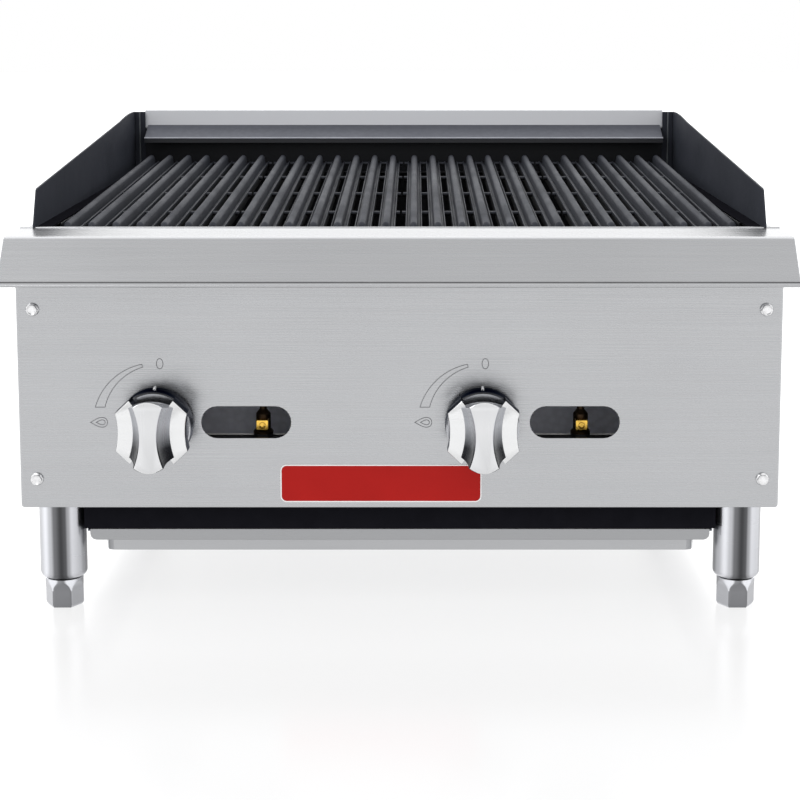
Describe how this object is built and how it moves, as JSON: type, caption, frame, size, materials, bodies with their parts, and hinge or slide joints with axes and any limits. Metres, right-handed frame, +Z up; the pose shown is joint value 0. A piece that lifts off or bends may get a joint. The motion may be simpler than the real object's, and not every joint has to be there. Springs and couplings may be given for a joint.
{
  "type": "charbroiler grill",
  "caption": "Countertop gas charbroiler: stainless cabinet on adjustable legs, lift-off cast iron grates over radiants and burners, turning control knobs and a slide-out drip tray.",
  "frame": {"origin": "on the table, at the middle of the footprint's box", "axes": "+Z up, -Y towards the cook, +X to the right seen from the front"},
  "size_m": [0.611, 0.7, 0.378],
  "materials": {
    "stainless": "brushed along the width",
    "black_enamel": "satin black enamel",
    "cast_iron": "sand-cast, seasoned dark",
    "aluminised_steel": "dull grey",
    "black_pipe": "black iron pipe, satin",
    "brass": "machined",
    "small_tube": "satin",
    "satin_chrome": "satin",
    "bright_screw": "zinc bright",
    "red_enamel": "gloss red with a thin light border"
  },
  "bodies": {
    "cabinet": {"front_panel": "stainless", "bullnose": "stainless", "side_panel_left": "stainless", "side_panel_right": "stainless", "back_panel": "stainless", "base_pan": "aluminised_steel", "splash_left": "black_enamel", "splash_right": "black_enamel", "flue_deflector": "aluminised_steel", "firebox_front_wall": "aluminised_steel", "firebox_rear_wall": "aluminised_steel", "firebox_side_left": "aluminised_steel", "firebox_side_right": "aluminised_steel", "radiant_1": "cast_iron", "radiant_2": "cast_iron", "radiant_3": "cast_iron", "radiant_4": "cast_iron", "radiant_support_front": "aluminised_steel", "rear_support": "aluminised_steel", "burner_left": "cast_iron", "burner_right": "cast_iron", "valve_body_left": "brass", "valve_body_right": "brass", "orifice_left": "brass", "orifice_right": "brass", "manifold": "black_pipe", "gas_inlet_pipe": "black_pipe", "pilot_valve_left": "brass", "pilot_valve_right": "brass", "pilot_tube_left": "small_tube", "pilot_tube_right": "small_tube", "pilot_burner_left": "aluminised_steel", "pilot_burner_right": "aluminised_steel", "nameplate": "red_enamel", "panel_screw_upper_left": "bright_screw", "panel_screw_upper_right": "bright_screw", "panel_screw_lower_left": "bright_screw", "panel_screw_lower_right": "bright_screw", "leg_front_left": "stainless", "leg_front_right": "stainless", "leg_rear_left": "stainless", "leg_rear_right": "stainless", "tray_housing": "black_enamel", "tray_rail_left": "aluminised_steel", "tray_rail_right": "aluminised_steel"},
    "plug_left": {"valve_plug_left": "brass"},
    "knob_left": {"knob_left": "satin_chrome"},
    "shutter_left": {"air_shutter_left": "aluminised_steel"},
    "plug_right": {"valve_plug_right": "brass"},
    "knob_right": {"knob_right": "satin_chrome"},
    "shutter_right": {"air_shutter_right": "aluminised_steel"},
    "tray": {"drip_tray": "stainless"},
    "foot_front_left": {"foot_front_left": "stainless"},
    "foot_front_right": {"foot_front_right": "stainless"},
    "foot_rear_left": {"foot_rear_left": "stainless"},
    "foot_rear_right": {"foot_rear_right": "stainless"},
    "grate_1": {"grate_1": "cast_iron"},
    "grate_2": {"grate_2": "cast_iron"},
    "grate_3": {"grate_3": "cast_iron"},
    "grate_4": {"grate_4": "cast_iron"}
  },
  "joints": [
    {"name": "tap_turn_left", "type": "hinge", "parent": "cabinet", "child": "plug_left", "pos_m": [-0.194, -0.262, 0.1585], "axis": [0, -1, 0], "range_deg": [0, 90]},
    {"name": "knob_push_left", "type": "slide", "parent": "plug_left", "child": "knob_left", "axis": [0, 1, 0], "range_m": [0, 0.003], "stiffness_N_per_m": 500, "springref_m": -0.004},
    {"name": "air_shutter_turn_left", "type": "hinge", "parent": "cabinet", "child": "shutter_left", "pos_m": [-0.194, -0.212, 0.1585], "axis": [0, -1, 0], "range_deg": [-40, 40]},
    {"name": "tap_turn_right", "type": "hinge", "parent": "cabinet", "child": "plug_right", "pos_m": [0.066, -0.262, 0.1585], "axis": [0, -1, 0], "range_deg": [0, 90]},
    {"name": "knob_push_right", "type": "slide", "parent": "plug_right", "child": "knob_right", "axis": [0, 1, 0], "range_m": [0, 0.003], "stiffness_N_per_m": 500, "springref_m": -0.004},
    {"name": "air_shutter_turn_right", "type": "hinge", "parent": "cabinet", "child": "shutter_right", "pos_m": [0.066, -0.212, 0.1585], "axis": [0, -1, 0], "range_deg": [-40, 40]},
    {"name": "tray_slide", "type": "slide", "parent": "cabinet", "child": "tray", "axis": [0, -1, 0], "range_m": [0, 0.5]},
    {"name": "foot_screw_front_left", "type": "slide", "parent": "cabinet", "child": "foot_front_left", "axis": [0, 0, -1], "range_m": [0, 0.025]},
    {"name": "foot_screw_front_right", "type": "slide", "parent": "cabinet", "child": "foot_front_right", "axis": [0, 0, -1], "range_m": [0, 0.025]},
    {"name": "foot_screw_rear_left", "type": "slide", "parent": "cabinet", "child": "foot_rear_left", "axis": [0, 0, -1], "range_m": [0, 0.025]},
    {"name": "foot_screw_rear_right", "type": "slide", "parent": "cabinet", "child": "foot_rear_right", "axis": [0, 0, -1], "range_m": [0, 0.025]},
    {"name": "grate_lift_1", "type": "slide", "parent": "cabinet", "child": "grate_1", "axis": [0, -0.6247, 0.7809], "range_m": [0, 0.12]},
    {"name": "grate_lift_2", "type": "slide", "parent": "cabinet", "child": "grate_2", "axis": [0, -0.6247, 0.7809], "range_m": [0, 0.12]},
    {"name": "grate_lift_3", "type": "slide", "parent": "cabinet", "child": "grate_3", "axis": [0, -0.6247, 0.7809], "range_m": [0, 0.12]},
    {"name": "grate_lift_4", "type": "slide", "parent": "cabinet", "child": "grate_4", "axis": [0, -0.6247, 0.7809], "range_m": [0, 0.12]}
  ]
}
